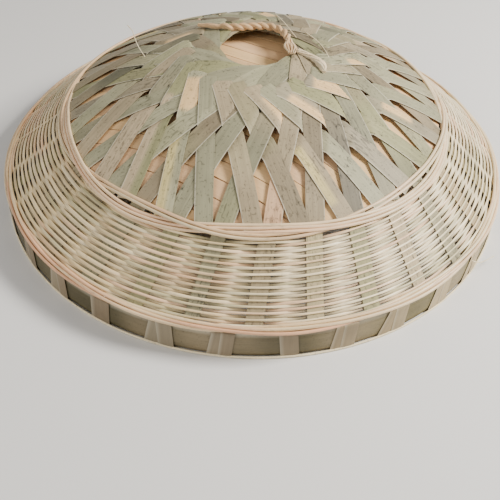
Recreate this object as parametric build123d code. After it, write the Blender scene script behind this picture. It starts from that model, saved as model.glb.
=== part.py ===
from build123d import *
from math import cos, degrees, pi, radians, sin, sqrt, tan
import os

# Conical woven bamboo hat, in millimetres. The origin is the centre of the rim's underside and +Z is up.
# The front of the hat faces -Y. An azimuth is counted from -Y towards +X.

# ---- driving dimensions -------------------------------------------------------------------------
RIM_R = 210.0            # outer radius of the rim hoop
HOOP_TOP_Z = 24.5        # top edge of the rim hoop
HAT_H = 122.2            # height of the crown's surface at the hole
BORDER_R = 158.1         # where the upper border meets the skirt
BORDER_Z = 66.4
CROWN_R = 152.0          # foot of the crown, inside the upper border
CROWN_Z = 71.4
CROWN_EDGE_R = 151.5     # where the splints and the lining stop
SKIRT_TOP_R = 152.5      # where the skirt starts, clear of them
HOLE_R = 26.7            # radius where the crown's curve starts to fall
DOME_POWER = 1.633       # how the crown's curve falls from the hole to its foot

SPLINTS = 30             # full splints, each a straight chord in plan
TANGENT_R = 37.2         # every chord touches this circle round the hole
SPLINT_W = 16.0
SPLINT_T = 0.5
SPLINT_PHASE = 8.6       # azimuth of the first chord's tangent point
STAKE_W = 12.5
LAYER_GAP = 0.05

LINING_T = 1.0
LINING_DROP = 1.8        # lining below the crown's surface at its foot
LINING_SAG = 8.5         # how much lower it hangs under the hole

WEFT_T = 1.6
SKIRT_R = 207.2          # where the skirt turns down between the rim hoops
SKIRT_END_Z = 3.0

ROD_D = 2.4
ROD_PITCH = 2.5
ROD_LIFT = 1.5           # rod centre above the skirt's surface
UPPER_RODS = 5
UPPER_ROD_START = 1.0    # first rod's centre, down the skirt from the crown's foot
LOWER_RODS = 4
LOWER_ROD_START = 2.25   # first rod's centre, up the skirt from its bend

HOOP_T = 2.4
HOOP_GAP = 0.2           # free space between a hoop and what it clasps
HOOP_FOOT_Z = 1.0
INNER_HOOP_TOP_Z = 22.0
HOOP_JOINT_ARC = 0.3     # degrees left open where the ends of a bent hoop meet
BINDINGS = 30
BINDING_PHASE = 7.0
BINDING_ARC = 4.4
BINDING_T = 0.8
WRAP_GAP = 0.1           # free space between a wrapping and what it goes round

HEAD_R = 90.0            # inner radius of the ring that sits on the head
HEAD_BAND_T = 1.5
HEAD_BAND_LOW_Z = 55.0
HEAD_BAND_TOP_Z = 94.0
HEAD_HOOP_T = 2.0
HEAD_HOOP_H = 6.0
STAYS = 6
STAY_W = 8.0
STAY_T = 1.2
STAY_GAP = 0.3           # free space between a stay's top and the lining
LASHING_ARC = 3.0
LASHING_T = 0.6
LASHING_REACH = 8.0

CORD_D = 6.4
TAIL_D = 5.0
# The cord's routes are plan points; each height is the crown's surface plus a clearance.
CORD_ROUTE_XY = [
    (-48, 38), (-38, 31), (-27, 26), (-14.5, 24.8), (-2.5, 27),
    (9, 28.3), (19, 23.5), (24.3, 13), (26, 0), (27.3, -13),
]
TAIL_ROUTE_XY = [(32.5, -8), (39, -11.3), (45.3, -14.8), (50.6, -20.8), (52.3, -29)]
CORD_CLEAR = 0.5
CORD_SLOPE_LIFT = 1.06   # a slanting surface needs this much more height for the same clearance
BEND_SHARE = 0.45        # part of a straight run that a bend beside it may use up

os.makedirs("parts", exist_ok=True)

SLOPE = (BORDER_Z - HOOP_TOP_Z) / (RIM_R - BORDER_R)
SLOPE_LEN = sqrt(1 + SLOPE * SLOPE)
DOWN = (1 / SLOPE_LEN, -SLOPE / SLOPE_LEN)       # unit step down the skirt, in (r, z)
OUT = (SLOPE / SLOPE_LEN, 1 / SLOPE_LEN)         # unit step out of the skirt
FAR = 400.0                                      # longer than the hat, for cutting prisms


# ---- surfaces -----------------------------------------------------------------------------------
def dome_z(r):
    """Height of the crown's outer surface."""
    fall = max(0.0, (r - HOLE_R) / (CROWN_R - HOLE_R))
    return CROWN_Z + (HAT_H - CROWN_Z) * (1 - fall**DOME_POWER)


def lining_z(r):
    """Height of the lining's outer surface: close under the crown at its foot, lower at the hole."""
    return dome_z(r) - LINING_DROP - LINING_SAG * (1 - (r / CROWN_R) ** 2) ** 2


def skirt_z(r, depth):
    """Height of the skirt at radius r, depth below its outer surface."""
    return BORDER_Z - (r - BORDER_R) * SLOPE - depth * SLOPE_LEN


def revolved(outline, arc=360.0):
    """Solid of revolution about Z from (r, z) points; a Spline edge may stand in for a run of them."""
    edges = outline if isinstance(outline[0], Edge) else None
    wire = Wire(edges) if edges else Polyline(*[(r, 0, z) for r, z in outline], close=True)
    face = make_face(wire)
    return revolve(face, Axis.Z, arc)


def dome_shell(surface, r_in, r_out, top, bottom, count=9):
    """Shell between surface - top and surface - bottom, from r_in to r_out."""
    radii = [r_in + (r_out - r_in) * i / (count - 1) for i in range(count)]
    upper = Spline(*[(r, 0, surface(r) - top) for r in radii])
    lower = Spline(*[(r, 0, surface(r) - bottom) for r in radii])
    sides = [Line(upper @ end, lower @ end) for end in (0, 1)]
    return revolve(make_face([upper, sides[0], lower, sides[1]]), Axis.Z)


def skirt_shell(r_top, top, bottom, z_end):
    """Cone between two depths, turned down to a short cylinder between the rim hoops."""
    rim_out, rim_in = SKIRT_R - top, SKIRT_R - bottom
    return revolved([
        (r_top, skirt_z(r_top, top)),
        (rim_out, skirt_z(rim_out, top)),
        (rim_out, z_end),
        (rim_in, z_end),
        (rim_in, skirt_z(rim_in, bottom)),
        (r_top, skirt_z(r_top, bottom)),
    ])


def prism(points):
    """Tall prism over a plan outline, for cutting a strip out of a shell."""
    return extrude(make_face(Polyline(*points, close=True)), FAR)


def around(solid, count, phase):
    """Copies of a solid made at azimuth 0, spread round the hat."""
    return [solid.rotate(Axis.Z, phase + i * 360.0 / count) for i in range(count)]


def ring_rod(radius, z, diameter):
    """A round rod bent into a full ring."""
    return Pos(0, 0, z) * Torus(radius, diameter / 2)


def save(node, solids):
    """One STEP file per sub-part; several solids become a compound."""
    solids = solids if isinstance(solids, list) else [solids]
    flat = [s for shape in solids for s in shape.solids()]
    for solid in flat:
        solid.label = node
    shape = flat[0] if len(flat) == 1 else Compound(label=node, children=flat)
    shape.label = node
    export_step(shape, f"parts/{node}.step")


# ---- crown: two layers of straight splints ------------------------------------------------------
def crown_splints():
    """Each chord's two halves. A half keeps only what its neighbour, one step on, leaves uncovered."""
    step = radians(360.0 / SPLINTS)
    near, far = -(TANGENT_R - SPLINT_W / 2), -(TANGENT_R + SPLINT_W / 2)

    def meets(y, distance):
        """Where the line y crosses the neighbour's edge at this distance from the axis."""
        return (distance + y * cos(step)) / sin(step)

    rising = [(meets(far, -far), far), (meets(near, -far), near), (FAR, near), (FAR, far)]
    falling = [(meets(near, -near), near), (meets(far, -near), far), (-FAR, far), (-FAR, near)]
    upper = dome_shell(dome_z, HOLE_R, CROWN_EDGE_R, 0, SPLINT_T)
    lower = dome_shell(dome_z, HOLE_R, CROWN_EDGE_R, SPLINT_T + LAYER_GAP, 2 * SPLINT_T + LAYER_GAP)
    save("crown_splints_left", around(upper & prism(falling), SPLINTS, SPLINT_PHASE))
    save("crown_splints_right", around(lower & prism(rising), SPLINTS, SPLINT_PHASE))


def crown_lining():
    """Closed inner layer of the crown, seen through the hole and the gaps between splints."""
    save("crown_lining", dome_shell(lining_z, 0, CROWN_EDGE_R, 0, LINING_T))


# ---- skirt --------------------------------------------------------------------------------------
def skirt():
    """The weft is one woven cone; the stakes are the crown's falling splints, carried on inside it."""
    save("skirt_weft", skirt_shell(SKIRT_TOP_R, 0, WEFT_T, SKIRT_END_Z))
    inside = WEFT_T + LAYER_GAP
    shell = skirt_shell(SKIRT_TOP_R, inside, inside + SPLINT_T, SKIRT_END_Z)
    slab = [(0, -TANGENT_R - STAKE_W / 2), (0, -TANGENT_R + STAKE_W / 2),
            (-FAR, -TANGENT_R + STAKE_W / 2), (-FAR, -TANGENT_R - STAKE_W / 2)]
    save("skirt_stakes", around(shell & prism(slab), SPLINTS, SPLINT_PHASE))


def borders():
    """Rods twined round the crown's foot and above the rim; each rod is a node of its own."""
    for i in range(UPPER_RODS):
        along = UPPER_ROD_START + ROD_PITCH * i
        r = CROWN_R + along * DOWN[0] + ROD_LIFT * OUT[0]
        z = skirt_z(CROWN_R, 0) + along * DOWN[1] + ROD_LIFT * OUT[1]
        save(f"upper_border_rod_{i + 1}", ring_rod(r, z, ROD_D))
    for i in range(LOWER_RODS):
        along = LOWER_ROD_START + ROD_PITCH * i
        r = SKIRT_R - along * DOWN[0] + ROD_LIFT * OUT[0]
        z = skirt_z(SKIRT_R, 0) - along * DOWN[1] + ROD_LIFT * OUT[1]
        save(f"lower_border_rod_{i + 1}", ring_rod(r, z, ROD_D))


# ---- rim ----------------------------------------------------------------------------------------
def rim():
    """Outer and inner split hoops clasp the skirt's end; flat bindings hold the three together."""
    out_low = SKIRT_R + HOOP_GAP
    in_high = SKIRT_R - WEFT_T - SPLINT_T - LAYER_GAP - HOOP_GAP
    in_low = in_high - HOOP_T
    open_hoop = 360.0 - HOOP_JOINT_ARC
    turn = BINDING_PHASE + 90.0 - HOOP_JOINT_ARC / 2
    outer = [(out_low, HOOP_FOOT_Z), (RIM_R, HOOP_FOOT_Z), (RIM_R, HOOP_TOP_Z), (out_low, HOOP_TOP_Z)]
    inner_top = INNER_HOOP_TOP_Z
    inner = [(in_low, HOOP_FOOT_Z), (in_high, HOOP_FOOT_Z), (in_high, inner_top), (in_low, inner_top)]
    save("rim_hoop_outer", revolved(outer, open_hoop).rotate(Axis.Z, -turn))
    save("rim_hoop_inner", revolved(inner, open_hoop).rotate(Axis.Z, -turn))

    gap, t = WRAP_GAP, BINDING_T
    wrap = [
        (RIM_R + gap + t, 0), (RIM_R + gap + t, HOOP_TOP_Z + gap + t), (out_low, HOOP_TOP_Z + gap + t),
        (out_low, HOOP_TOP_Z + gap), (RIM_R + gap, HOOP_TOP_Z + gap), (RIM_R + gap, t),
        (in_low - gap, t), (in_low - gap, inner_top + gap), (in_high, inner_top + gap),
        (in_high, inner_top + gap + t), (in_low - gap - t, inner_top + gap + t), (in_low - gap - t, 0),
    ]
    binding = revolved(wrap, BINDING_ARC).rotate(Axis.Z, -90.0 - BINDING_ARC / 2)
    save("rim_bindings", around(binding, BINDINGS, BINDING_PHASE))


# ---- ring that sits on the head -----------------------------------------------------------------
def head_ring():
    """A woven band stiffened by two hoops, on stays that reach up to the lining, and lashed."""
    band_out = HEAD_R + HEAD_BAND_T
    hoop_in = band_out + LAYER_GAP
    hoop_out = hoop_in + HEAD_HOOP_T
    low, top = HEAD_BAND_LOW_Z, HEAD_BAND_TOP_Z

    def rect(r0, r1, z0, z1):
        return [(r0, z0), (r1, z0), (r1, z1), (r0, z1)]

    save("head_ring_band", revolved(rect(HEAD_R, band_out, low, top)))
    save("head_ring_hoop_lower", revolved(rect(hoop_in, hoop_out, low, low + HEAD_HOOP_H)))
    save("head_ring_hoop_upper", revolved(rect(hoop_in, hoop_out, top - HEAD_HOOP_H, top)))

    stay_in = hoop_out + LAYER_GAP
    stay_out = stay_in + STAY_T
    stay_top = lining_z(stay_out) - LINING_T * SLOPE_LEN - STAY_GAP
    arc = degrees(STAY_W / stay_out)
    stay = revolved(rect(stay_in, stay_out, low, stay_top), arc).rotate(Axis.Z, -90.0 - arc / 2)
    save("head_ring_stays", around(stay, STAYS, 0))

    t, foot, reach = LASHING_T, low - WRAP_GAP, low + LASHING_REACH
    inside, outside = HEAD_R - WRAP_GAP, stay_out + WRAP_GAP
    cup = [(inside - t, foot - t), (outside + t, foot - t), (outside + t, reach), (outside, reach),
           (outside, foot), (inside, foot), (inside, reach), (inside - t, reach)]
    lashing = revolved(cup, LASHING_ARC).rotate(Axis.Z, -90.0 - LASHING_ARC / 2)
    save("head_ring_lashings", around(lashing, STAYS, 0))


# ---- fibre cord at the hole ---------------------------------------------------------------------
def tube(points, diameter):
    """Straight runs joined by the largest tangent arcs; prints the radii and checks the volume."""
    pts = [Vector(*p) for p in points]
    radii = []
    for before, here, after in zip(pts, pts[1:], pts[2:]):
        turn = (here - before).get_angle(after - here)
        run = min((here - before).length, (after - here).length)
        radii.append(BEND_SHARE * run / tan(radians(turn) / 2))
    path = FilletPolyline(*pts, radius=radii)
    ends = Plane(origin=path @ 0, z_dir=path % 0)
    solid = sweep(ends * Circle(diameter / 2), path=path)
    expected = pi * diameter**2 / 4 * path.length
    print("tube radii", [round(r, 1) for r in radii], "length", round(path.length, 1),
          "volume ratio", round(solid.volume / expected, 4))
    return solid


def cord():
    """The twined cord lies along the hole's rear edge; its knotted tail lies on the crown beside it."""
    cords = (("hang_cord", CORD_ROUTE_XY, CORD_D), ("hang_cord_tail", TAIL_ROUTE_XY, TAIL_D))
    for node, route, diameter in cords:
        lift = diameter / 2 + CORD_CLEAR
        points = [(x, y, dome_z(sqrt(x * x + y * y)) + lift * CORD_SLOPE_LIFT) for x, y in route]
        print(node, [tuple(round(v, 1) for v in p) for p in points])
        save(node, tube(points, diameter))


crown_splints()
crown_lining()
skirt()
borders()
rim()
head_ring()
cord()
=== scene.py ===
"""Looks of the woven bamboo hat: every splint, weft, rod, hoop, binding and cord as its own strand."""
import math
import random

import bpy
import numpy as np
from mathutils import Matrix, Vector, noise


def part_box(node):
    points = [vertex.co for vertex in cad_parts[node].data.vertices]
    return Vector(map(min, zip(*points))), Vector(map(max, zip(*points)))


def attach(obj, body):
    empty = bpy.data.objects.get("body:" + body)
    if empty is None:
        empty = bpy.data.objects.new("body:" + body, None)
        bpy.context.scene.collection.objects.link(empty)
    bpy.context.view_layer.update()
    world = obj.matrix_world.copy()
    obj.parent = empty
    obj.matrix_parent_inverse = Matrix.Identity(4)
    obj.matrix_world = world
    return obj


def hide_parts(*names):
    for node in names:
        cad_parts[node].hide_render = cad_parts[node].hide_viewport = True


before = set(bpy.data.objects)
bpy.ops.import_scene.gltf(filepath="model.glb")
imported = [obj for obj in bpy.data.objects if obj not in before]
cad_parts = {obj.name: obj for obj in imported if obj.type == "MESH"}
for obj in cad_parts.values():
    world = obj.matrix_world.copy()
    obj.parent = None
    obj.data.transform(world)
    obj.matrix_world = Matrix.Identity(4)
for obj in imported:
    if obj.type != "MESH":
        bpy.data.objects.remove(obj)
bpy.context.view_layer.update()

MM = 0.001
RNG = random.Random(11)

# ---- sizes in metres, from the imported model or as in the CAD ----
rim_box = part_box("rim_hoop_outer")
RIM_R = rim_box[1][0]
HOOP_TOP = rim_box[1][2]
HOOP_FOOT = rim_box[0][2]
TOP_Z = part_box("crown_splints_left")[1][2]
BORDER_R, BORDER_Z = 158.1 * MM, 66.4 * MM
CROWN_R, CROWN_Z = 152.0 * MM, 71.4 * MM
HOLE_R = 26.7 * MM
DOME_POWER = 1.633
SKIRT_R = 207.2 * MM
SKIRT_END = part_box("skirt_weft")[0][2]
LINING_DROP, LINING_SAG = 1.8 * MM, 8.5 * MM

SPLINTS = 30
STEP = math.tau / SPLINTS
TANGENT_R = 37.2 * MM  # every splint's middle touches a circle of about this radius
PHASE = math.radians(8.6)
SPLINT_W, SPLINT_T = 13.7 * MM, 0.3 * MM
STAKE_W, STAKE_T = 12.0 * MM, 0.5 * MM

SLOPE = (BORDER_Z - HOOP_TOP) / (RIM_R - BORDER_R)
DOWN = Vector((1, -SLOPE)).normalized()
OUT = Vector((SLOPE, 1)).normalized()
SKIRT_LEN = (SKIRT_R - BORDER_R) / DOWN[0]
WEAVE_SINK = 0.9 * MM  # the stakes, and the middle of the wefts' waves, below the skirt's surface


# ---- colour ----
def linear(*rgb):
    """Scene-linear colour from display values of 0 to 255."""
    shares = [v / 255 for v in rgb]
    return Vector([s / 12.92 if s <= 0.04045 else ((s + 0.055) / 1.055) ** 2.4 for s in shares])


SAGE = linear(164, 160, 130)
GREEN = linear(168, 165, 122)
GREY_BROWN = linear(164, 149, 120)
MAUVE = linear(160, 150, 126)
YELLOW = linear(208, 190, 130)
TAN = linear(190, 170, 138)
PITH = linear(242, 202, 144)
SALMON = linear(216, 176, 138)
STRAW = linear(222, 198, 150)
CREAM = linear(246, 230, 192)
PINK = linear(242, 182, 142)
OLIVE = linear(118, 108, 74)
WRAP = linear(144, 126, 100)
EDGE = linear(216, 208, 186)
CORD = linear(224, 184, 136)
TAIL = linear(238, 222, 186)


def mix(a, b, t):
    """Colour a turned towards b by a share that is held between 0 and 1."""
    return a.lerp(b, min(1.0, max(0.0, t)))


def wander(seed, x, scale):
    """Smooth noise of 0 to 1 along a strand."""
    return 0.5 + 0.5 * noise.noise(Vector((x / scale, seed * 7.31, seed * 1.7)))


def smooth(x, low, high):
    """0 below low, 1 above high and a smooth rise between."""
    t = min(1.0, max(0.0, (x - low) / (high - low)))
    return t * t * (3 - 2 * t)


def dimmed(tone, depth, seed, x, scale, gain=1.0, start=0.2):
    """The tone, dimmed here and there along a strand, at most to depth of itself."""
    return mix(tone, tone * depth, gain * wander(seed, x, scale) - start)


def patched(tone, colour, share, seed, x, scale, low, high):
    """The tone with patches of a colour, where the noise along a strand rises from low to high."""
    return mix(tone, colour, share * smooth(wander(seed, x, scale), low, high))


# ---- mesh building ----
SHARP_ANGLE = math.radians(50)
EDGE_ROUNDING, EDGE_POWER = 0.35, 8  # a flat strip's edges: share of its thickness, and how sudden


def add_object(name, data):
    """A new object in the scene."""
    made = bpy.data.objects.new(name, data)
    bpy.context.scene.collection.objects.link(made)
    return made


def distances(points):
    """Distance of each point along a run of points."""
    result = [0.0]
    for a, b in zip(points, points[1:]):
        result.append(result[-1] + (b - a).length)
    return result


class Batch:
    """Closed strands gathered into one mesh, with a strand-wise UV map and a colour attribute that on some
    strands also holds painted light and shade.
    """

    def __init__(self, name):
        self.name = name
        self.verts, self.faces, self.uvs, self.corner_colours = [], [], [], []

    def strand(self, stations, section, strand_colour, closed=False, shift=0.0):
        """stations: (centre, side, up, width scale, thickness scale); section: (side, up) points.
        dye(i, v) gives the colour at station i and section position v, which runs from 0 to 1."""
        base, n, m = len(self.verts), len(stations), len(section)
        along = distances([station[0] for station in stations])
        lap = [0.0]
        for a, b in zip(section, section[1:] + section[:1]):
            lap.append(lap[-1] + math.hypot(b[0] - a[0], b[1] - a[1]))
        for centre, side, up, ws, ts in stations:
            for x, y in section:
                self.verts.append(centre + side * (x * ws) + up * (y * ts))
        colours = [[strand_colour(i, j / m) for j in range(m)] for i in range(n)]
        total = along[-1]
        for i in range(n if closed else n - 1):
            i2 = (i + 1) % n
            here, there = base + i * m, base + i2 * m
            u1 = along[i + 1] if i + 1 < n else total + total / n
            for j in range(m):
                j2 = (j + 1) % m
                self.faces.append((here + j, here + j2, there + j2, there + j))
                self.uvs.append(((along[i], lap[j] + shift), (along[i], lap[j + 1] + shift),
                                 (u1, lap[j + 1] + shift), (u1, lap[j] + shift)))
                self.corner_colours.append((colours[i][j], colours[i][j2], colours[i2][j2], colours[i2][j]))
        if not closed:
            for i, order in ((0, range(m - 1, -1, -1)), (n - 1, range(m))):
                self.faces.append(tuple(base + i * m + j for j in order))
                self.uvs.append(tuple((along[i] + section[j][1], section[j][0] + shift) for j in order))
                self.corner_colours.append(tuple(colours[i][j] for j in order))

    def build(self, material):
        """The batch as one object on the hat's only body."""
        mesh = bpy.data.meshes.new(self.name)
        mesh.from_pydata([tuple(v) for v in self.verts], [], self.faces)
        uv = mesh.uv_layers.new(name="strand")
        uv.data.foreach_set("uv", np.array([c for f in self.uvs for p in f for c in p], dtype=np.float32))
        # vertex colour: the strands' own colours, with painted light and shade on some strands
        strand_colour = mesh.color_attributes.new("strand_colour", "FLOAT_COLOR", "CORNER")
        flat = np.array([(*c, 1.0) for f in self.corner_colours for c in f], dtype=np.float32)
        strand_colour.data.foreach_set("color", flat.ravel())
        mesh.polygons.foreach_set("use_smooth", [True] * len(mesh.polygons))
        mesh.set_sharp_from_angle(angle=SHARP_ANGLE)
        mesh.materials.append(material)
        mesh.update()
        piece = add_object(self.name, mesh)
        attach(piece, "root")
        return piece


def stand_in(piece, slot, *nodes):
    """Takes a piece in place of the CAD's nodes, which it hides; the slot is not used."""
    if nodes:
        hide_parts(*nodes)


def flat_section(width, thickness, points=5, crown=0.0):
    """Flat strip's outline: the upper face may bulge by crown, and the edges are rounded."""
    top, bottom = [], []
    for i in range(points):
        x = -1 + 2 * i / (points - 1)
        rounded = EDGE_ROUNDING * thickness * abs(x) ** EDGE_POWER
        top.append((x * width / 2, thickness / 2 + crown * (1 - x * x) - rounded))
        bottom.append((x * width / 2, -thickness / 2 + rounded))
    return top + bottom[::-1]


def round_section(width, height, points=8):
    turns = [math.tau * i / points for i in range(points)]
    return [(width / 2 * math.cos(a), height / 2 * math.sin(a)) for a in reversed(turns)]


def add_ribbon(batch, rows, colours, thickness, shift):
    """Closed strip from rows of points on its middle face, with its skins half a thickness off."""
    base, n, m = len(batch.verts), len(rows), len(rows[0])
    lap = distances(rows[n // 2])
    along = distances([row[m // 2] for row in rows])
    for i, row in enumerate(rows):
        a, b = rows[max(0, i - 1)], rows[min(n - 1, i + 1)]
        for j, p in enumerate(row):
            run = b[j] - a[j]
            side = row[min(m - 1, j + 1)] - row[max(0, j - 1)]
            normal = side.cross(run).normalized()
            if normal.z < 0:
                normal = -normal
            batch.verts.append(p + normal * thickness / 2)
            batch.verts.append(p - normal * thickness / 2)

    def face(corners, turned):
        """One face through (row, place, under) corners, the other way round if turned."""
        corners = corners[::-1] if turned else corners
        batch.faces.append(tuple(base + 2 * (i * m + j) + under for i, j, under in corners))
        batch.uvs.append(tuple((along[i], lap[j] + shift) for i, j, _ in corners))
        batch.corner_colours.append(tuple(colours[i][j] for i, j, _ in corners))

    for i in range(n - 1):
        for j in range(m - 1):
            cells = (i, j), (i, j + 1), (i + 1, j + 1), (i + 1, j)
            for under in (0, 1):
                face([(*cell, under) for cell in cells], under == 1)
        for j in (0, m - 1):
            face([(i, j, 0), (i + 1, j, 0), (i + 1, j, 1), (i, j, 1)], j > 0)
    for i in (0, n - 1):
        for j in range(m - 1):
            face([(i, j, 0), (i, j, 1), (i, j + 1, 1), (i, j + 1, 0)], i > 0)


# ---- surfaces of the hat ----
def dome_z(r):
    fall = max(0.0, (r - HOLE_R) / (CROWN_R - HOLE_R))
    return CROWN_Z + (TOP_Z - CROWN_Z) * (1 - fall**DOME_POWER)


def lining_z(r):
    return dome_z(r) - LINING_DROP - LINING_SAG * (1 - (r / CROWN_R) ** 2) ** 2


def around(azimuth, r, z):
    """A point at an azimuth, counted from the front towards +X."""
    return Vector((r * math.sin(azimuth), -r * math.cos(azimuth), z))


def skirt_at(t):
    """(r, z) and outward (r, z) normal at distance t down the skirt from the border."""
    if t < SKIRT_LEN:
        return BORDER_R + t * DOWN[0], BORDER_Z + t * DOWN[1], OUT
    z = BORDER_Z + SKIRT_LEN * DOWN[1] - (t - SKIRT_LEN)
    return SKIRT_R, z, Vector((1, 0))


def skirt_point(azimuth, t, lift, bent=True):
    """Point, outward normal and downhill direction on the skirt; a straight cone runs on past its bend."""
    r, z, out = skirt_at(t) if bent else (BORDER_R + t * DOWN[0], BORDER_Z + t * DOWN[1], OUT)
    normal = around(azimuth, out[0], out[1])
    down = around(azimuth, out[1], -out[0])
    return around(azimuth, r, z) + normal * lift, normal, down


# ---- materials ----
BROAD_U, BROAD_V = 0.25, 0.22  # the broad streaks' scale, as shares of the fine grain's
MARK_U, MARK_V = 4, 0.3  # and the stain marks'
PATCH_SCALE, STAIN_SCALE = 70, 22  # per metre
SPOT_FROM, SPOT_TO = 0.6, 0.72  # the noise values between which a spot or a stain appears


def new_material(name):
    """A material, its nodes, its links and its shader."""
    mat = bpy.data.materials.new(name)
    mat.use_nodes = True
    tree = mat.node_tree
    return mat, tree.nodes, tree.links, tree.nodes["Principled BSDF"]


def fibre_material(name, roughness, grain, depth, mottle, bump=0.2, specks=0.0, speck_scale=900, stain=0.0,
                   sheen=0.0, gloss=0.28):
    """Plant fibre: colour from the vertex colour attribute, which on some strands also holds painted light
    and shade, streaked along the strand, mottled and specked.
    The grain is its streaks' scale along and across the strand, and the depth their strength."""
    mat, nodes, links, bsdf = new_material(name)
    bsdf.inputs["Specular IOR Level"].default_value = gloss
    if sheen:
        bsdf.inputs["Sheen Weight"].default_value = sheen
        bsdf.inputs["Sheen Roughness"].default_value = 0.5

    def node(kind, **values):
        made = nodes.new(kind)
        for key, value in values.items():
            setattr(made, key, value)
        return made

    def calc(operation, *values):
        made = node("ShaderNodeMath", operation=operation)
        for socket, value in zip(made.inputs, values):
            if isinstance(value, (int, float)):
                socket.default_value = value
            else:
                links.new(value, socket)
        return made.outputs[0]

    uv = node("ShaderNodeUVMap", uv_map="strand")
    strand_colour = node("ShaderNodeAttribute", attribute_name="strand_colour", attribute_type="GEOMETRY")
    coord = node("ShaderNodeTexCoord")

    def noise_texture(vector, scale, detail):
        tex = node("ShaderNodeTexNoise")
        tex.inputs["Scale"].default_value = scale
        tex.inputs["Detail"].default_value = detail
        links.new(vector, tex.inputs["Vector"])
        return tex.outputs["Fac"]

    def streaks(scale_u, scale_v, detail):
        mapping = node("ShaderNodeMapping")
        mapping.inputs["Scale"].default_value = (scale_u, scale_v, 1)
        links.new(uv.outputs[0], mapping.inputs["Vector"])
        return noise_texture(mapping.outputs[0], 1.0, detail)

    def blotches(scale, detail):
        return noise_texture(coord.outputs["Object"], scale, detail)

    fine = streaks(grain[0], grain[1], 4)
    broad = streaks(grain[0] * BROAD_U, grain[1] * BROAD_V, 2)
    patch = blotches(PATCH_SCALE, 3)
    value = 1.0
    for spread, share in ((fine, depth), (broad, depth * 1.1), (patch, mottle * 2)):
        value = calc("MULTIPLY_ADD", calc("SUBTRACT", spread, 0.5), share, value)
    marks = streaks(grain[0] * MARK_U, grain[1] * MARK_V, 2)
    marks = calc("MULTIPLY", marks, calc("ADD", blotches(STAIN_SCALE, 1), 0.5))
    for share, spots in ((specks, blotches(speck_scale, 1)), (stain, marks)):
        ramp = node("ShaderNodeMapRange", interpolation_type="SMOOTHSTEP")
        ramp.inputs["From Min"].default_value = SPOT_FROM
        ramp.inputs["From Max"].default_value = SPOT_TO
        links.new(spots, ramp.inputs["Value"])
        value = calc("MULTIPLY_ADD", ramp.outputs[0], -share, value)
    tint = node("ShaderNodeVectorMath", operation="SCALE")
    links.new(strand_colour.outputs["Color"], tint.inputs[0])
    links.new(value, tint.inputs["Scale"])
    links.new(tint.outputs[0], bsdf.inputs["Base Color"])
    rough = calc("MULTIPLY_ADD", calc("SUBTRACT", fine, 0.5), 0.25, roughness)
    links.new(rough, bsdf.inputs["Roughness"])
    relief = node("ShaderNodeBump")
    relief.inputs["Strength"].default_value = bump
    relief.inputs["Distance"].default_value = 0.4 * MM
    links.new(calc("ADD", fine, calc("MULTIPLY", broad, 0.6)), relief.inputs["Height"])
    links.new(relief.outputs[0], bsdf.inputs["Normal"])
    return mat


def plain_material(name, colour, roughness):
    """Backdrop paint, with a faint mottle."""
    mat, nodes, links, bsdf = new_material(name)
    bsdf.inputs["Roughness"].default_value = roughness
    tex = nodes.new("ShaderNodeTexNoise")
    tex.inputs["Scale"].default_value = 3.0
    ramp = nodes.new("ShaderNodeValToRGB")
    ramp.color_ramp.elements[0].color = (*(c * 0.97 for c in colour), 1)
    ramp.color_ramp.elements[1].color = (*colour, 1)
    links.new(tex.outputs["Fac"], ramp.inputs["Fac"])
    links.new(ramp.outputs[0], bsdf.inputs["Base Color"])
    return mat


# ---- camera, light and floor ----
CAMERA_PITCH, CAMERA_ROLL = math.radians(44.45), 0.03136  # downwards, and a slight lean
CAMERA_PLACE = (0, -2.533 * RIM_R, 2.005 * RIM_R)
LENS, SENSOR = 54.0, 36.0  # in camera millimetres
KEY_PLACE, KEY_TARGET = (1.0, -0.05, 0.92), (0.02, 0, 0.05)
KEY_SIZE, KEY_POWER, KEY_COLOUR = 0.4, 33, (1, 0.965, 0.91)
FILL_PLACE, FILL_TARGET = (-0.95, -1.0, 0.85), (-0.05, 0, 0.05)
FILL_SIZE, FILL_POWER, FILL_COLOUR = 0.9, 9, (1, 0.975, 0.94)
SKY_COLOUR, SKY_STRENGTH = (1.0, 0.975, 0.94, 1), 0.38
FLOOR_COLOUR, FLOOR_REACH = (0.80, 0.79, 0.77), 6.0


def make_camera():
    look = Vector((0, math.cos(CAMERA_PITCH), -math.sin(CAMERA_PITCH)))
    right = Vector((1, 0, 0))
    up = right.cross(look)
    x_axis = right * math.cos(CAMERA_ROLL) + up * math.sin(CAMERA_ROLL)
    y_axis = up * math.cos(CAMERA_ROLL) - right * math.sin(CAMERA_ROLL)
    data = bpy.data.cameras.new("camera")
    data.lens, data.sensor_width = LENS, SENSOR
    camera = add_object("camera", data)
    turn = Matrix((x_axis, y_axis, -look)).transposed().to_4x4()
    camera.matrix_world = Matrix.Translation(CAMERA_PLACE) @ turn
    bpy.context.scene.camera = camera


def area_light(name, place, target, size, power, colour):
    data = bpy.data.lights.new(name, "AREA")
    data.size, data.energy, data.color = size, power, colour
    lamp = add_object(name, data)
    lamp.location = place
    lamp.rotation_euler = (Vector(target) - Vector(place)).to_track_quat("-Z", "Y").to_euler()


def make_studio():
    world = bpy.data.worlds.new("studio")
    world.use_nodes = True
    background = world.node_tree.nodes["Background"]
    background.inputs["Color"].default_value = SKY_COLOUR
    background.inputs["Strength"].default_value = SKY_STRENGTH
    bpy.context.scene.world = world
    area_light("key", KEY_PLACE, KEY_TARGET, KEY_SIZE, KEY_POWER, KEY_COLOUR)
    area_light("fill", FILL_PLACE, FILL_TARGET, FILL_SIZE, FILL_POWER, FILL_COLOUR)
    floor_mesh = bpy.data.meshes.new("floor")
    corners = [(x * FLOOR_REACH, y * FLOOR_REACH, 0) for x, y in ((-1, -1), (1, -1), (1, 1), (-1, 1))]
    floor_mesh.from_pydata(corners, [], [(0, 1, 2, 3)])
    floor_mesh.materials.append(plain_material("floor_paint", FLOOR_COLOUR, 0.8))
    add_object("floor", floor_mesh)


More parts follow.
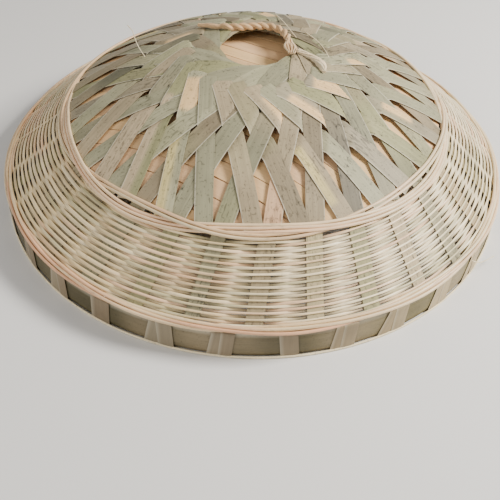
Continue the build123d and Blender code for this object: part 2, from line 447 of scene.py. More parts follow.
# ---- crown splints and skirt stakes ----
NEAR_HOLE = 42 * MM  # along a splint, how far the hole's crowding reaches
SPLINT_SWELL = 4.2 * MM  # extra width there, where an underlying splint is widest
RAISED_SWELL = 0.6 * MM  # the same for every other splint, which lies on top there
RAISED_SHIFT = -2.2 * MM  # and nearer the hole
SPLINT_SWAY = 3.0 * MM  # how far a splint's middle wanders in all
SPLINT_SPACING = 1.4 * MM  # between a splint's cross rows of points
SHINGLE = 0.45 * MM  # one splint over the next, at the overlap
SHINGLE_TURN = 1.9  # over 1, the overlap is the other way round near the hole
RAISE = 0.9 * MM  # every other splint over the rest near the hole
HOLE_ZONE = (34 * MM, 52 * MM)  # distances along a splint over which these effects end
CLEAR_ZONE = (56 * MM, 74 * MM)  # the same, as distances from the hat's axis
DIVE_DEPTH, DIVE_RUN = 1.6 * MM, 9 * MM  # a rising half goes under its neighbours
CLEARANCE = 0.95 * MM  # and comes out over the falling halves by this much
WEAVE_DEPTH = 0.85 * MM  # how far it dives and comes out once more, further out
UNDER_CROSSING, BACK_CROSSING = 6, 11  # splints further round: past one it comes out, under one it dives


class Course:
    """Where one splint runs in plan: a nearly straight chord that touches the circle round the hole."""

    def __init__(self, index):
        self.theta = PHASE + index * STEP + math.radians(RNG.uniform(-0.6, 0.6))
        self.raised = index % 2 == 0
        self.offset = TANGENT_R + RNG.uniform(-1.4, 1.4) * MM
        self.wide = RNG.uniform(0.93, 1.06)
        self.seed = index + 0.5
        self.along = Vector((math.cos(self.theta), math.sin(self.theta)))
        self.out = Vector((math.sin(self.theta), -math.cos(self.theta)))

    def middle(self, s):
        """Distance of the splint's middle from the axis, and half its width, at s along the chord."""
        near = math.exp(-((s / NEAR_HOLE) ** 2))
        width = (SPLINT_W + (RAISED_SWELL if self.raised else SPLINT_SWELL) * near) * self.wide
        width *= 1 + 0.10 * (wander(self.seed + 20, s, 0.05) - 0.5)
        sway = (wander(self.seed + 10, s, 0.07) - 0.5) * SPLINT_SWAY
        return self.offset + sway + (RAISED_SHIFT * near if self.raised else 0), width / 2

    def reach(self, plan):
        """How far a plan point lies outside the splint's inner edge and outside its outer edge."""
        middle, half = self.middle(plan.dot(self.along))
        aside = plan.dot(self.out) - middle
        return aside + half, aside - half


def splint_height(courses, index, plan, s):
    """Height of a splint over a plan point. Inner edges lie on top round the hole, outer edges beyond. The
    falling half keeps to the crown's surface, raised near the hole for every other splint. The rising half
    dives under its neighbours near the hole and under one more splint, further out."""
    r = plan.length
    turn = math.atan2(plan.x, -plan.y) - courses[index].theta
    turn = (turn + math.pi) % (math.tau) - math.pi
    centre = math.acos(TANGENT_R / r) if r > TANGENT_R else 0.0
    near = 1 - smooth(abs(s), *HOLE_ZONE)
    tilt = SHINGLE / STEP * (1 - SHINGLE_TURN * near)
    raised = RAISE * near * courses[index].raised
    if s <= 0:
        return dome_z(r) + tilt * (turn + centre) + raised
    dived = smooth(s, 0, DIVE_RUN)
    deep = DIVE_DEPTH * dived - raised * (1 - dived)
    clear = CLEARANCE + 0.7 * RAISE * (1 - smooth(r, *CLEAR_ZONE))
    _, past = courses[(index + UNDER_CROSSING) % SPLINTS].reach(plan)
    inside, outside = courses[(index + BACK_CROSSING) % SPLINTS].reach(plan)
    lift = -deep + (clear + deep) * smooth(past, 0.2 * MM, 3.2 * MM)
    lift += (-WEAVE_DEPTH - lift) * smooth(inside, -2.6 * MM, 0.1 * MM)
    lift += (WEAVE_DEPTH - lift) * smooth(outside, -0.1 * MM, 2.8 * MM)
    return dome_z(r) + tilt * (centre - turn) + lift


def splint_tone():
    """The next splint's or stake's own base colour."""
    pick = RNG.random()
    base = SAGE if pick < 0.38 else GREEN if pick < 0.55 else GREY_BROWN if pick < 0.82 else MAUVE
    return base * RNG.uniform(0.62, 1.22)


# Pale stretches of splints: splint number -> (from, to, side, colour), in millimetres from the tangent
# point, positive on the rising half. The side is -1 for the inner half, 1 for the outer and 0 for both.
PITH_SPANS = {
    21: [(46, 76, 0, PITH), (84, 160, 1, YELLOW)],
    25: [(52, 84, -1, PITH), (96, 140, 1, YELLOW)],
    27: [(50, 82, 1, PITH)],
    29: [(46, 82, 0, PITH), (100, 125, -1, PITH)],
    20: [(70, 160, 1, TAN)],
    19: [(80, 160, 0, TAN)],
    6: [(-160, -112, 0, SALMON)],
    2: [(60, 80, 1, PITH)],
    5: [(105, 135, -1, PITH)],
    9: [(50, 74, 0, PITH)],
    13: [(100, 160, 1, YELLOW)],
    15: [(48, 70, -1, PITH), (-130, -90, 0, TAN)],
}


def pith_colour(index, s, x, shade):
    """The shade, turned pale where this stretch of the splint lies with its pith outwards."""
    for start, stop, half, colour in PITH_SPANS.get(index, ()):
        inside = smooth(s, (start - 2) * MM, (start + 3) * MM)
        inside *= 1 - smooth(s, (stop - 3) * MM, (stop + 2) * MM)
        part = 1.0 if half == 0 else smooth(x * half, -0.35, 0.2)
        shade = mix(shade, colour, 0.9 * inside * part)
    return shade


def splint_colours(index, seed, tone, s, across):
    """Colours over a splint's width at s: its tone, patches along it, pale pith, and scraped edges."""
    shade = dimmed(tone, 0.7, seed, s, 0.03, 1.3, 0.3)
    shade = patched(shade, GREEN, 0.5, seed + 40, s, 0.07, 0.55, 0.8)
    shade = patched(shade, GREY_BROWN, 0.7, seed + 80, s, 0.05, 0.55, 0.8)
    scraped = [0.45 + 0.4 * x if abs(x) == 1 else 0 for x in across]
    return [mix(pith_colour(index, s, x, shade), EDGE, share) for x, share in zip(across, scraped)]


def crown_splints(material):
    """Every crown splint, and the stakes that carry them on down the skirt."""
    batch = Batch("bamboo_splints")
    across = [-1, -0.92, -0.6, -0.2, 0.2, 0.6, 0.88, 1]
    border_s = math.sqrt((CROWN_R + 3 * MM) ** 2 - TANGENT_R**2)
    count = int(2 * border_s / SPLINT_SPACING)
    courses = [Course(index) for index in range(SPLINTS)]
    for index, course in enumerate(courses):
        tone = splint_tone() * (1.0 if index % 4 else 0.82)
        rows, colours = [], []
        for i in range(count + 1):
            s = border_s - 2 * border_s * i / count
            middle, half = course.middle(s)
            row = []
            for x in across:
                plan = course.out * (middle + x * half) + course.along * s
                row.append(Vector((plan.x, plan.y, splint_height(courses, index, plan, s))))
            rows.append(row)
            colours.append(splint_colours(index, course.seed, tone, s, across))
        add_ribbon(batch, rows, colours, SPLINT_T, shift=index * 0.05)
    skirt_stakes(batch)
    return batch.build(material)


def stake_azimuth(index, r):
    return PHASE + index * STEP - math.acos(TANGENT_R / r)


def skirt_stakes(batch):
    """The falling half of each splint, carried on down the skirt to between the rim hoops."""
    across = [-1, -0.85, 0, 0.85, 1]
    bend_z = BORDER_Z + SKIRT_LEN * DOWN[1]
    start, end = -7.5 * MM, SKIRT_LEN + (bend_z - SKIRT_END) - 1 * MM
    count = 60
    for index in range(SPLINTS):
        width = STAKE_W * RNG.uniform(0.88, 1.06)
        tone = splint_tone() * 0.8
        lean = RNG.uniform(-0.5, 0.5) * MM
        pale = RNG.uniform(0.05, 0.45)
        seed = index + 200.5
        rows, colours = [], []
        for i in range(count + 1):
            t = start + (end - start) * i / count
            r = skirt_at(t)[0]
            azimuth = stake_azimuth(index, r)
            turns = [azimuth + (x * width / 2 + lean) / r for x in across]
            rows.append([skirt_point(turn, t, -WEAVE_SINK)[0] for turn in turns])
            shade = dimmed(tone, 0.85, seed, t, 0.03)
            shade = patched(shade, GREEN, 0.5, seed + 40, t, 0.05, 0.6, 0.8)
            colours.append([mix(shade, STRAW, pale)] * len(across))
        add_ribbon(batch, rows, colours, STAKE_T, shift=3 + index * 0.05)


# ---- lining: two crossed layers of wide strips ----
LINING_PITCH, LINING_W, LINING_T = 12.4 * MM, 11.8 * MM, 0.4 * MM
LINING_HEADINGS = (math.radians(-27), math.radians(63))
LAYER_GAP = 1.3 * MM


def crown_lining(material):
    batch = Batch("crown_lining_strips")
    across = [-1, -0.5, 0, 0.5, 1]
    edge = CROWN_R - 0.3 * MM
    lines = int(edge / LINING_PITCH)
    count = 90
    for layer, heading in enumerate(LINING_HEADINGS):
        run = Vector((math.cos(heading), math.sin(heading), 0))
        side = Vector((-run.y, run.x, 0))
        for line in range(-lines, lines + 1):
            centre = line * LINING_PITCH
            seed = line * 0.31 + layer * 40 + 9
            tone = mix(SALMON, PITH, RNG.uniform(0, 0.9)) * RNG.uniform(0.92, 1.1)
            rows, colours = [], []
            for i in range(count + 1):
                f = -1 + 2 * i / count
                row = []
                for x in across:
                    ragged = (wander(seed + x, f, 0.35) - 0.5) * 1.3 * MM * abs(x)
                    aside = centre + x * (LINING_W / 2 + ragged)
                    reach = math.sqrt(max(1e-8, edge**2 - aside**2))
                    plan = side * aside + run * (f * reach)
                    z = lining_z(math.hypot(plan.x, plan.y)) - LINING_T / 2 - layer * LAYER_GAP
                    row.append(Vector((plan.x, plan.y, z)))
                rows.append(row)
                colours.append([dimmed(tone, 0.82, seed, f, 0.3)] * len(across))
            add_ribbon(batch, rows, colours, LINING_T, shift=layer * 5 + line * 0.03)
    return batch.build(material)


# ---- wefts, borders ----
WEFT_PITCH, WEFT_START, WEFT_ROWS = 2.2 * MM, 3.6 * MM, 27
WEFT_W, WEFT_H = 2.25 * MM, 0.95 * MM
WEFT_WAVE, WEFT_SNAP = 1.15 * MM, 2.0  # how far it goes over and under a stake, and how suddenly
SLACK_AZIMUTH = 0.5  # where the weave is slackest, at the front right
ROD_W, ROD_H = 2.5 * MM, 2.4 * MM
ROD_SPACING = 1.06 * ROD_W
ROD_LEVEL = 0.9 * MM  # one bundle of rods over the other, where they cross


def ring_azimuths(samples):
    """Azimuths once round the hat, starting at the back."""
    return [math.tau * i / samples - math.pi for i in range(samples)]


def ring_strand(batch, place, width, height, strand_colour, samples=720, shift=0.0):
    """A rod round the hat, on the skirt's cone carried straight on.
    place(azimuth) gives (distance down the skirt, lift, width scale), and dye(azimuth) the colour."""
    azimuths = ring_azimuths(samples)
    stations = []
    for azimuth in azimuths:
        t, lift, wide = place(azimuth)
        point, normal, down = skirt_point(azimuth, t, lift, bent=False)
        stations.append((point, down, normal, wide, 1))
    section = round_section(width, height)
    batch.strand(stations, section, lambda i, v: strand_colour(azimuths[i]), closed=True, shift=shift)


def weft_colour_with_painted_light(row):
    """Straw to cream, paler on the right, in part the rows' own colour and in part painted light on the lit
    side; a few stretches are pinkish or green.
    """
    pale = RNG.uniform(-0.35, 0.55)
    depth = RNG.uniform(0.84, 1.06)
    seed = RNG.uniform(0, 90)

    def strand_colour(azimuth):
        # paler towards the right: in part the rows' own colour, in part painted light where the key lamp
        # falls
        base = mix(STRAW, CREAM, pale + 0.55 * smooth(math.sin(azimuth), -0.8, 0.9)) * depth
        # painted light: brighter still towards the lit right side
        base = mix(base * 1.18, CREAM * 1.07, 0.6 * smooth(math.sin(azimuth), -0.3, 0.6))
        colour = dimmed(base, 0.72, seed, azimuth, 0.15, 1.3, 0.3)
        colour = patched(colour, PINK, 0.5, seed * 0.01 + row * 0.05, azimuth, 0.4, 0.5, 0.72)
        return patched(colour, GREEN, 0.55, seed * 0.02 + row * 0.05 + 30, azimuth, 0.4, 0.52, 0.75)

    return strand_colour


def skirt_weft(material):
    """Rows of weft, over one stake and under the next. A stretch that dives is painted darker, as painted
    shade of its stake.
    Where the weave is slack, the rows narrow at each stake."""
    batch = Batch("skirt_weft_rows")
    for row in range(WEFT_ROWS):
        t0 = WEFT_START + row * WEFT_PITCH
        wobble = RNG.uniform(0, 20)
        swell = RNG.uniform(0.9, 1.08)
        tint = weft_colour_with_painted_light(row)

        def over(azimuth):
            phase = (azimuth - stake_azimuth(0, skirt_at(t0)[0])) / STEP * math.pi + row * math.pi
            return math.cos(phase)

        def place(azimuth):
            wave = math.tanh(WEFT_SNAP * over(azimuth)) / math.tanh(WEFT_SNAP)
            sway = (wander(wobble, azimuth, 0.15) - 0.5) * 0.6 * MM
            slack = smooth(math.cos(azimuth - SLACK_AZIMUTH), 0.35, 0.95)
            wide = 1.15 - 0.15 * slack + (0.1 - 0.46 * slack) * over(azimuth) ** 2
            return t0 + sway, wave * WEFT_WAVE - WEAVE_SINK, wide

        # painted shade: a row darkens to half its colour where it dives under a stake
        def strand_colour(azimuth):
            return tint(azimuth) * (0.5 + 0.5 * smooth(over(azimuth), -0.9, -0.3))

        ring_strand(batch, place, WEFT_W * swell, WEFT_H, strand_colour, samples=900, shift=row * 0.02)
    return batch.build(material)


def border(material, name, centre, spread, waves, rods, phase, pink, lift):
    """Rods in two bundles that cross each other in long waves."""
    batch = Batch(name)
    for rod in range(rods):
        bundle = 1 if rod % 2 else -1
        rank = rod // 2 - (rods // 2 - 1) / 2
        seed = RNG.uniform(0, 90)
        tone = mix(CREAM, PINK, RNG.uniform(0.1, 1.0) * pink)
        tone = mix(tone, STRAW, RNG.uniform(0.1, 0.7)) * RNG.uniform(0.9, 1.14)
        seam = RNG.uniform(0.8, 1.2)

        def place(azimuth):
            turn = waves * azimuth + phase + 0.5 * math.sin(azimuth * 2 + phase)
            shift = bundle * math.sin(turn) * spread + rank * ROD_SPACING * seam
            shift += (wander(seed, azimuth, 0.25) - 0.5) * 1.2 * MM
            return centre + shift, lift + bundle * math.cos(turn) * ROD_LEVEL, 1

        def strand_colour(azimuth):
            colour = dimmed(tone, 0.72, seed + 5, azimuth, 0.2, 1.3, 0.3)
            colour = patched(colour, PINK, 0.6 * pink, seed + 9, azimuth, 0.4, 0.55, 0.8)
            # painted light: paler towards the right, the side the key lamp lights
            return mix(colour, CREAM, 0.5 * smooth(math.sin(azimuth), 0.1, 0.9))

        ring_strand(batch, place, ROD_W, ROD_H, strand_colour, shift=rod * 0.02)
    return batch.build(material)


# ---- rim ----
HOOP_SAMPLES = 360
HOOP_SKIN = 2.2 * MM  # thickness of both rim hoops
LIP_W, LIP_H = 1.8 * MM, 1.6 * MM  # the pale rod under the outer hoop
WRAPS = 30
WRAP_PHASE = math.radians(7.0)
WRAP_T, WRAP_CROWN = 0.45 * MM, 0.12 * MM
WRAP_CORNER = 1.0 * MM  # radius of its bends over the hoop's edges


def ring_station(azimuth, radius, z):
    """A station of a strip that stands upright on a circle and runs along it."""
    return around(azimuth, radius, z), Vector((0, 0, -1)), around(azimuth, 1, 0), 1, 1


def slat_stations(azimuth, radius, low, high, steps):
    """Stations of an upright slat on a circle, from its foot to its top."""
    side, out = around(azimuth + math.pi / 2, 1, 0), around(azimuth, 1, 0)
    heights = [low + (high - low) * k / steps for k in range(steps + 1)]
    return [(around(azimuth, radius, z), side, out, 1, 1) for z in heights]


def ring_band(batch, radius, low, high, thickness, strand_colour, bulge=0.0, shift=0.0):
    """A flat hoop: an upright strip bent into a ring."""
    section = flat_section(high - low, thickness, 7, bulge)
    middle = (low + high) / 2
    azimuths = ring_azimuths(HOOP_SAMPLES)
    ripples = [(wander(shift * 3 + 2, azimuth, 0.35) - 0.5) * 0.5 * MM for azimuth in azimuths]
    stations = [ring_station(azimuth, radius, middle + ripple) for azimuth, ripple in zip(azimuths, ripples)]
    batch.strand(stations, section, lambda i, v: strand_colour(azimuths[i], v), closed=True, shift=shift)


def hoop_colour_with_painted_light(base, seed):
    """Painted shade at the left and painted light at the right, patched with tan; both edges are scraped."""
    def strand_colour(azimuth, v):
        # painted light and shade: about half the colour at the left, brighter at the right, where the key
        # lamp is
        side_lit_tone = base * (0.52 + 0.68 * smooth(math.sin(azimuth), -0.2, 0.9))
        colour = dimmed(side_lit_tone, 0.72, seed, azimuth, 0.3)
        colour = patched(colour, TAN, 0.5, seed + 3, azimuth, 0.25, 0.58, 0.8)
        return mix(colour, EDGE, 0.5 * (v > 0.98 or v < 0.02))

    return strand_colour


def rim(hoop_material, binding_material):
    outer = Batch("rim_hoop_outer_skin")
    outer_r = (SKIRT_R + 0.2 * MM + RIM_R) / 2
    strand_colour = hoop_colour_with_painted_light(OLIVE, 1.5)
    ring_band(outer, outer_r, HOOP_FOOT, HOOP_TOP, HOOP_SKIN, strand_colour, bulge=0.3 * MM, shift=1.0)
    inner = Batch("rim_hoop_inner_skin")
    (_, _, inner_foot), (inner_r, _, inner_top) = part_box("rim_hoop_inner")
    ring_band(inner, inner_r - 1.2 * MM, inner_foot, inner_top, HOOP_SKIN, hoop_colour_with_painted_light(TAN, 7.5), shift=2.0)
    lip = Batch("rim_lower_edge")
    stations = [ring_station(azimuth, RIM_R + 0.9 * MM, 1.2 * MM) for azimuth in ring_azimuths(HOOP_SAMPLES)]
    lip.strand(stations, round_section(LIP_W, LIP_H), lambda i, v: CREAM, closed=True)
    wraps = rim_bindings(binding_material)
    stand_in(outer.build(hoop_material), "rim_hoop", "rim_hoop_outer")
    stand_in(inner.build(hoop_material), "rim_hoop", "rim_hoop_inner")
    stand_in(lip.build(hoop_material), "rim_hoop")
    stand_in(wraps, "rim_binding", "rim_bindings")


def wrap_path(offset):
    """(r, z) points of a binding round both hoops: from its tuck behind the outer hoop's top, down the
    outside and up again inside the inner hoop."""
    inner_r, _, inner_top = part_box("rim_hoop_inner")[1]
    r_out = RIM_R + 0.55 * MM + offset
    r_in = inner_r - 2.9 * MM - offset
    top, foot, end = HOOP_TOP + 0.5 * MM + offset, 0.45 * MM, inner_top + 0.5 * MM
    bend = [(1 - math.sin(a), 1 - math.cos(a)) for a in (0.0, 0.5, 1.0, 1.5)]
    points = [(SKIRT_R + 0.6 * MM, top - 0.9 * MM), (SKIRT_R + 1.2 * MM, top), (r_out - WRAP_CORNER, top)]
    points += [(r_out - WRAP_CORNER * x, top - WRAP_CORNER * y) for x, y in bend[1:]]
    points += [(r_out, top - (top - foot) * k / 8) for k in range(1, 8)]
    points += [(r_out - WRAP_CORNER * y, foot + WRAP_CORNER * x) for x, y in bend]
    points += [(r_in + WRAP_CORNER, foot), (r_in, foot + WRAP_CORNER)]
    points += [(r_in, foot + (end - foot) * k / 4) for k in range(1, 5)]
    points += [(r_in + 1.2 * MM, end + 0.4 * MM), (r_in + 2.2 * MM, end)]
    return points


def wrap_stations(path, middle, aside, slant):
    """Stations along a wrap's path at an azimuth, set aside and slanted along the rim."""
    stations = []
    high = path[2][1]
    for k, (r, z) in enumerate(path):
        r0, z0 = path[max(0, k - 1)]
        r1, z1 = path[min(len(path) - 1, k + 1)]
        step = Vector((r1 - r0, z1 - z0)).normalized()
        azimuth = middle + (aside - slant * (high - z)) / RIM_R
        side = around(azimuth + math.pi / 2, 1, 0)
        stations.append((around(azimuth, r, z), side, around(azimuth, -step.y, step.x), 1, 1))
    return stations


def rim_bindings(material):
    """Flat wraps round both hoops; about half of them are doubled, with the lower ply slanted."""
    batch = Batch("rim_binding_wraps")
    for index in range(WRAPS):
        middle = WRAP_PHASE + index * math.tau / WRAPS + math.radians(RNG.uniform(-0.8, 0.8))
        doubled = RNG.random() < 0.5
        for ply in range(2 if doubled else 1):
            width = RNG.uniform(13, 17) * MM * (0.72 if doubled else 1)
            slant = RNG.uniform(-0.10, 0.14) + (0.22 if doubled and ply == 0 else 0)
            aside = (ply - 0.5) * 5.5 * MM if doubled else 0
            tone = mix(WRAP, MAUVE, RNG.random() * 0.7) * RNG.uniform(0.88, 1.08)
            # painted light: towards pale straw at the right, the side the key lamp lights
            tone = mix(tone * 0.86, STRAW, 0.55 * smooth(math.sin(middle), 0.0, 0.9))
            seed = index + ply * 0.37 + 300

            def strand_colour(i, v):
                colour = dimmed(tone, 0.8, seed, i * 0.01, 0.04)
                return mix(colour, EDGE, 0.3 * (v < 0.01 or 0.45 < v < 0.5))

            stations = wrap_stations(wrap_path(ply * 0.3 * MM), middle, aside, slant)
            batch.strand(stations, flat_section(width, WRAP_T, crown=WRAP_CROWN), strand_colour, shift=index * 0.04)
    return batch.build(material)


# ---- head ring, inside ----
RING_POSTS, RING_ROWS, RING_STAYS = 36, 9, 6
POST_W, POST_T = 7 * MM, 0.35 * MM
STAY_W, STAY_T = 8 * MM, 1.0 * MM
RING_WAVE = 0.55 * MM  # how far a row goes to either side of a post


def head_ring_weave():
    """The band: rows woven round upright posts."""
    band = Batch("head_ring_weave")
    (_, _, low), (radius, _, high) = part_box("head_ring_band")
    radius -= 0.75 * MM
    pitch = (high - low) / RING_ROWS
    samples = RING_POSTS * 8
    for row in range(RING_ROWS):
        tone = mix(STRAW, CREAM, RNG.random()) * 0.95
        z = low + (row + 0.5) * pitch
        stations = []
        for i in range(samples):
            azimuth = math.tau * i / samples
            wave = math.cos(azimuth * RING_POSTS / 2 + row * math.pi)
            stations.append(ring_station(azimuth, radius + wave * RING_WAVE, z))
        section = flat_section(pitch * 0.93, POST_T)
        band.strand(stations, section, lambda i, v: tone, closed=True, shift=row * 0.03)
    for post in range(RING_POSTS):
        tone = mix(SAGE, TAN, RNG.random())
        stations = slat_stations(math.tau * post / RING_POSTS, radius, low, high, 6)
        band.strand(stations, flat_section(POST_W, POST_T), lambda i, v: tone, shift=post * 0.05)
    return band


def head_ring_hoop(node):
    """The split hoop that stiffens one edge of the band."""
    hoop = Batch(node + "_split")
    (_, _, low), (radius, _, high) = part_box(node)
    strand_colour = hoop_colour_with_painted_light(TAN, low * 99)
    ring_band(hoop, radius - 1.0 * MM, low, high, 1.7 * MM, strand_colour, bulge=0.2 * MM, shift=low)
    return hoop


def head_ring_stays():
    """Upright slats between the ring and the lining."""
    stays = Batch("head_ring_stay_slats")
    (_, _, low), (_, radius, high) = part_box("head_ring_stays")
    section = flat_section(STAY_W, STAY_T, crown=0.1 * MM)
    for index in range(RING_STAYS):
        stations = slat_stations(index * math.tau / RING_STAYS, radius - 0.6 * MM, low, high, 8)
        tone = mix(TAN, SAGE, RNG.random())
        stays.strand(stations, section, lambda i, v: tone, shift=index * 0.1)
    return stays


def head_ring(weft_material, hoop_material, binding_material):
    """The ring that sits on the head; its lashings keep their CAD shape."""
    stand_in(head_ring_weave().build(weft_material), "head_ring", "head_ring_band")
    for node in ("head_ring_hoop_lower", "head_ring_hoop_upper"):
        stand_in(head_ring_hoop(node).build(hoop_material), "head_ring_hoop", node)
    stand_in(head_ring_stays().build(hoop_material), "head_ring_hoop", "head_ring_stays")
    lashing = bpy.data.objects["head_ring_lashings"].data
    strand_colour = lashing.color_attributes.new("strand_colour", "FLOAT_COLOR", "CORNER")
    strand_colour.data.foreach_set("color", np.tile(np.array((*TAN, 1.0), dtype=np.float32), len(lashing.loops)))
    lashing.materials.clear()
    lashing.materials.append(binding_material)


# ---- fibre cord ----
CORD_D, TAIL_D = 6.4 * MM, 5.0 * MM
CORD_CLEARANCE = 0.5 * MM  # under a cord, over the crown's surface
LINE_STEP = 0.6 * MM  # between the points of a cord's line
CORD_PITCH, PLY_D = 15.0 * MM, 3.7 * MM  # one turn of the twist, and one ply
TWIST_R = (CORD_D - PLY_D) / 2  # from the cord's line to a ply's middle
LOOSE_END = 30 * MM  # the stretch at the right end that is open fibres
LONE_START = 23 * MM  # the stretch at the left end that is one ply
WISPS, WISP_W, WISP_H = 4, 1.8 * MM, 1.6 * MM
TAIL_STRANDS = 7
CORD_XY = [
    (-48, 38), (-38, 31), (-27, 26), (-14.5, 24.8), (-2.5, 27),
    (9, 28.3), (19, 23.5), (24.3, 13), (26, 0), (27.3, -13),
]
TAIL_XY = [(32.5, -8), (39, -11.3), (45.3, -14.8), (50.6, -20.8), (52.3, -29)]


def route_points(plan, diameter):
    lift = (diameter / 2 + CORD_CLEARANCE) * 1.06
    return [Vector((x * MM, y * MM, dome_z(math.hypot(x * MM, y * MM)) + lift)) for x, y in plan]


def route_line(points):
    """Points along the smooth line of a cord's route."""
    curve = bpy.data.curves.new("route", "CURVE")
    curve.dimensions = "3D"
    spline = curve.splines.new("NURBS")
    spline.points.add(len(points) - 1)
    for slot, point in zip(spline.points, points):
        slot.co = (*point, 1)
    spline.order_u = 3
    spline.use_endpoint_u = True
    curve.resolution_u = 24
    holder = bpy.data.objects.new("route", curve)
    mesh = bpy.data.meshes.new_from_object(holder)
    line = [v.co.copy() for v in mesh.vertices]
    bpy.data.objects.remove(holder)
    bpy.data.curves.remove(curve)
    bpy.data.meshes.remove(mesh)
    return resample(line)


def resample(line):
    """The same line with evenly spaced points."""
    lengths = distances(line)
    count = max(2, round(lengths[-1] / LINE_STEP))
    result, k = [], 0
    for i in range(count + 1):
        want = lengths[-1] * i / count
        while k < len(line) - 2 and lengths[k + 1] < want:
            k += 1
        span = lengths[k + 1] - lengths[k]
        result.append(line[k].lerp(line[k + 1], (want - lengths[k]) / span if span else 0))
    return result


def frames(line):
    """(side, up) at every point of a line, with up kept near +Z."""
    result = []
    for i, _ in enumerate(line):
        run = (line[min(len(line) - 1, i + 1)] - line[max(0, i - 1)]).normalized()
        side = run.cross(Vector((0, 0, 1))).normalized()
        result.append((side, side.cross(run).normalized()))
    return result


def offset_strand(batch, line, place, width, height, strand_colour, points=8, shift=0.0):
    """A strand that follows a line at place(distance) = (side, up, width scale, height scale)."""
    centres, scales = [], []
    for point, far, (side, up) in zip(line, distances(line), frames(line)):
        aside, above, wide, high = place(far)
        centres.append(point + side * aside + up * above)
        scales.append((wide, high))
    stations = [(centre, *axes, *scale) for centre, axes, scale in zip(centres, frames(centres), scales)]
    batch.strand(stations, round_section(width, height, points), strand_colour, shift=shift)


def lay_cord(piece, node, path):
    """Takes a cord piece in place of the CAD's node, which it hides; the path is measured and not used
    further.
    """
    stand_in(piece, "fibre_cord", node)
    distances(path)[-1]


def cord_dye(tone, depth, seed, scale, start, paler=0.0):
    """Fibre colour along a strand; paler is how far one side of it goes towards the tail's colour."""
    def strand_colour(i, v):
        shade = dimmed(tone, depth, seed, i * LINE_STEP, scale, start=start)
        return mix(shade, TAIL, paler * (v < 0.3))

    return strand_colour


def cord_turn(total, ply):
    """How far a ply has turned round the cord's line at a distance along it."""
    return -math.tau * total / CORD_PITCH + ply * math.pi


def twisted_ply(batch, line, loose_from, ply):
    """One ply of the twist; the first runs on alone at the left, and both thin out at the right."""
    begin = LONE_START * ply
    run = [p for i, p in enumerate(line) if begin <= i * LINE_STEP <= loose_from + 12 * MM]

    def place(far):
        total = far + begin
        turn = cord_turn(total, ply)
        grip = TWIST_R * (0.15 + 0.85 * smooth(total, 16 * MM, 30 * MM))
        wide = 0.8 + 0.35 * smooth(total, 0, 16 * MM) - 0.15 * smooth(total, 22 * MM, 32 * MM)
        wide *= 0.4 + 0.6 * smooth(far, 0, 8 * MM) if ply else 1
        wide *= 1 - 0.75 * smooth(total, loose_from - 2 * MM, loose_from + 12 * MM)
        return math.cos(turn) * grip, math.sin(turn) * grip, wide, wide

    seed = ply * 10 + 0.5
    strand_colour = cord_dye(CORD * (1.0 - 0.06 * ply), 0.66, seed, 0.012, 0.15, 0.25)
    offset_strand(batch, run, place, PLY_D, PLY_D, strand_colour, points=14, shift=seed * 0.05)


def loose_wisp(batch, line, loose_from, ply, wisp):
    """One fibre of a ply's open end: it leaves the twist and fans out flat on the crown."""
    seed = ply * 10 + wisp + 1.5
    begin = loose_from - 8 * MM
    length = distances(line)[-1]
    run = [p for i, p in enumerate(line) if i * LINE_STEP >= begin]
    tone = mix(CORD, TAIL, RNG.uniform(0, 0.6)) * RNG.uniform(0.88, 1.06)
    rank = ply * WISPS + wisp - (2 * WISPS - 1) / 2

    def place(far):
        total = far + begin
        turn = cord_turn(total, ply)
        spin = turn * 1.6 + wisp * math.pi / 2
        open_up = smooth(total, loose_from - 4 * MM, length - 6 * MM)
        pinch = 1 - 0.55 * smooth(total, length - 8 * MM, length)
        aside = math.cos(turn) * TWIST_R + math.cos(spin) * PLY_D * 0.3
        above = math.sin(turn) * TWIST_R + math.sin(spin) * PLY_D * 0.3
        fan = rank * 1.2 * MM * pinch + (wander(seed, total, 0.008) - 0.5) * 1.8 * MM
        low = (-1.3 + 0.8 * (wisp % 2) + 1.2 * wander(seed + 3, total, 0.01)) * MM
        wide = 0.8 + 0.35 * wander(seed + 7, total, 0.01) - 0.35 * smooth(total, length - 9 * MM, length)
        return aside + (fan - aside) * open_up, above + (low - above) * open_up, wide, wide

    strand_colour = cord_dye(tone, 0.66, seed, 0.012, 0.15, 0.25)
    offset_strand(batch, run, place, WISP_W, WISP_H, strand_colour, shift=seed * 0.05)


def hang_cord(material):
    """Two plies twisted together; the right end opens into loose fibres."""
    line = route_line(route_points(CORD_XY, CORD_D))
    loose_from = distances(line)[-1] - LOOSE_END
    batch = Batch("hang_cord_twist")
    for ply in range(2):
        twisted_ply(batch, line, loose_from, ply)
        for wisp in range(WISPS):
            loose_wisp(batch, line, loose_from, ply, wisp)
    lay_cord(batch.build(material), "hang_cord", line[::-1])


def tail_strand(batch, line, strand):
    """One of the fibres that turn slowly round the tail's line, swelling and then tapering."""
    length = distances(line)[-1]
    first = math.tau * strand / TAIL_STRANDS
    seed = strand + 60.5
    tone = mix(TAIL, CORD, RNG.uniform(0, 0.35)) * RNG.uniform(0.92, 1.04)

    def place(far):
        spin = first + far / (9 * MM)
        swell = 0.75 + 0.35 * smooth(far, 0.3 * length, 0.75 * length)
        taper = 1 - 0.55 * smooth(far, length * 0.8, length)
        rough = (wander(seed, far, 0.005) - 0.5) * (0.8 + 1.4 * far / length) * MM
        reach = TAIL_D * 0.38 * swell * taper + rough
        return math.cos(spin) * reach, math.sin(spin) * reach, swell * taper, swell * taper

    strand_colour = cord_dye(tone, 0.78, seed, 0.006, 0.2)
    offset_strand(batch, line, place, TAIL_D * 0.46, TAIL_D * 0.46, strand_colour, shift=seed * 0.05)


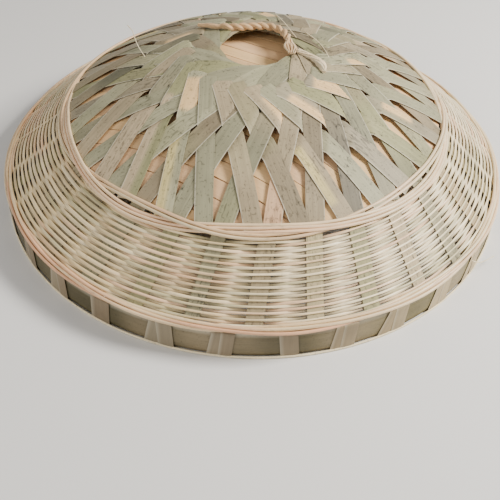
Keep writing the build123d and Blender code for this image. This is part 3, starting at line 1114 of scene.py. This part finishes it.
def hang_cord_tail(material):
    line = route_line(route_points(TAIL_XY, TAIL_D))
    batch = Batch("hang_cord_tail_fibres")
    for strand in range(TAIL_STRANDS):
        tail_strand(batch, line, strand)
    lay_cord(batch.build(material), "hang_cord_tail", line)


STRAY_D = 0.7 * MM
# Loose fibres: runs of (azimuth in degrees, radius, height), in millimetres.
STRAYS = (
    ((-95, 90, 106.5), (-102, 98, 106), (-108, 106, 108), (-111, 111, 113), (-109, 113, 118)),
    ((168, 75, 113.5), (154, 46, 125), (134, 36, 126), (115, 35, 123.5)),
    ((128, 50, 120), (103, 54, 122), (83, 58, 118)),
    ((52, 207, 24), (55, 214, 12), (57, 219, 14), (61, 221, 6)),
)


def stray_fibres(material):
    batch = Batch("stray_fibres")
    for number, run in enumerate(STRAYS):
        line = route_line([around(math.radians(a), r * MM, z * MM) for a, r, z in run])
        offset_strand(batch, line, lambda far: (0, 0, 1, 1), STRAY_D, STRAY_D, lambda i, v: TAIL, points=6,
                      shift=number * 0.1)
    stand_in(batch.build(material), "fibre_cord")


# ---- put together ----
make_camera()
make_studio()
splint_mat = fibre_material("dry_bamboo_skin", roughness=0.55, grain=(35, 1500), depth=0.5, mottle=0.16,
                            bump=0.3, specks=0.36, speck_scale=520, stain=0.42)
lining_mat = fibre_material("bamboo_pith", roughness=0.7, grain=(40, 1200), depth=0.3, mottle=0.12,
                            stain=0.12)
weft_mat = fibre_material("split_bamboo", roughness=0.36, grain=(50, 2600), depth=0.4, mottle=0.16,
                          stain=0.2, gloss=0.55)
hoop_mat = fibre_material("bamboo_culm", roughness=0.5, grain=(50, 900), depth=0.45, mottle=0.2, bump=0.3,
                          specks=0.3)
binding_mat = fibre_material("binding_splint", roughness=0.55, grain=(60, 1400), depth=0.3, mottle=0.12)
cord_mat = fibre_material("dry_fibre", roughness=0.75, grain=(260, 2600), depth=0.9, mottle=0.2, bump=0.8,
                          sheen=0.15)

hang_cord(cord_mat)
hang_cord_tail(cord_mat)
splints = crown_splints(splint_mat)
stand_in(splints, "bamboo_splint", "crown_splints_left", "crown_splints_right", "skirt_stakes")
stand_in(crown_lining(lining_mat), "bamboo_lining", "crown_lining")
stand_in(skirt_weft(weft_mat), "bamboo_weft", "skirt_weft")
upper = border(weft_mat, "upper_border_rods", centre=-3.6 * MM, spread=3.8 * MM, waves=4, rods=5, phase=0.9,
               pink=0.8, lift=1.3 * MM)
stand_in(upper, "border_rod", *[f"upper_border_rod_{i}" for i in range(1, 6)])
lower = border(weft_mat, "lower_border_rods", centre=SKIRT_LEN + 0.2 * MM, spread=1.3 * MM, waves=6, rods=4,
               phase=0.2, pink=1.3, lift=0.9 * MM)
stand_in(lower, "border_rod", *[f"lower_border_rod_{i}" for i in range(1, 5)])
rim(hoop_mat, binding_mat)
head_ring(weft_mat, hoop_mat, binding_mat)
stray_fibres(cord_mat)
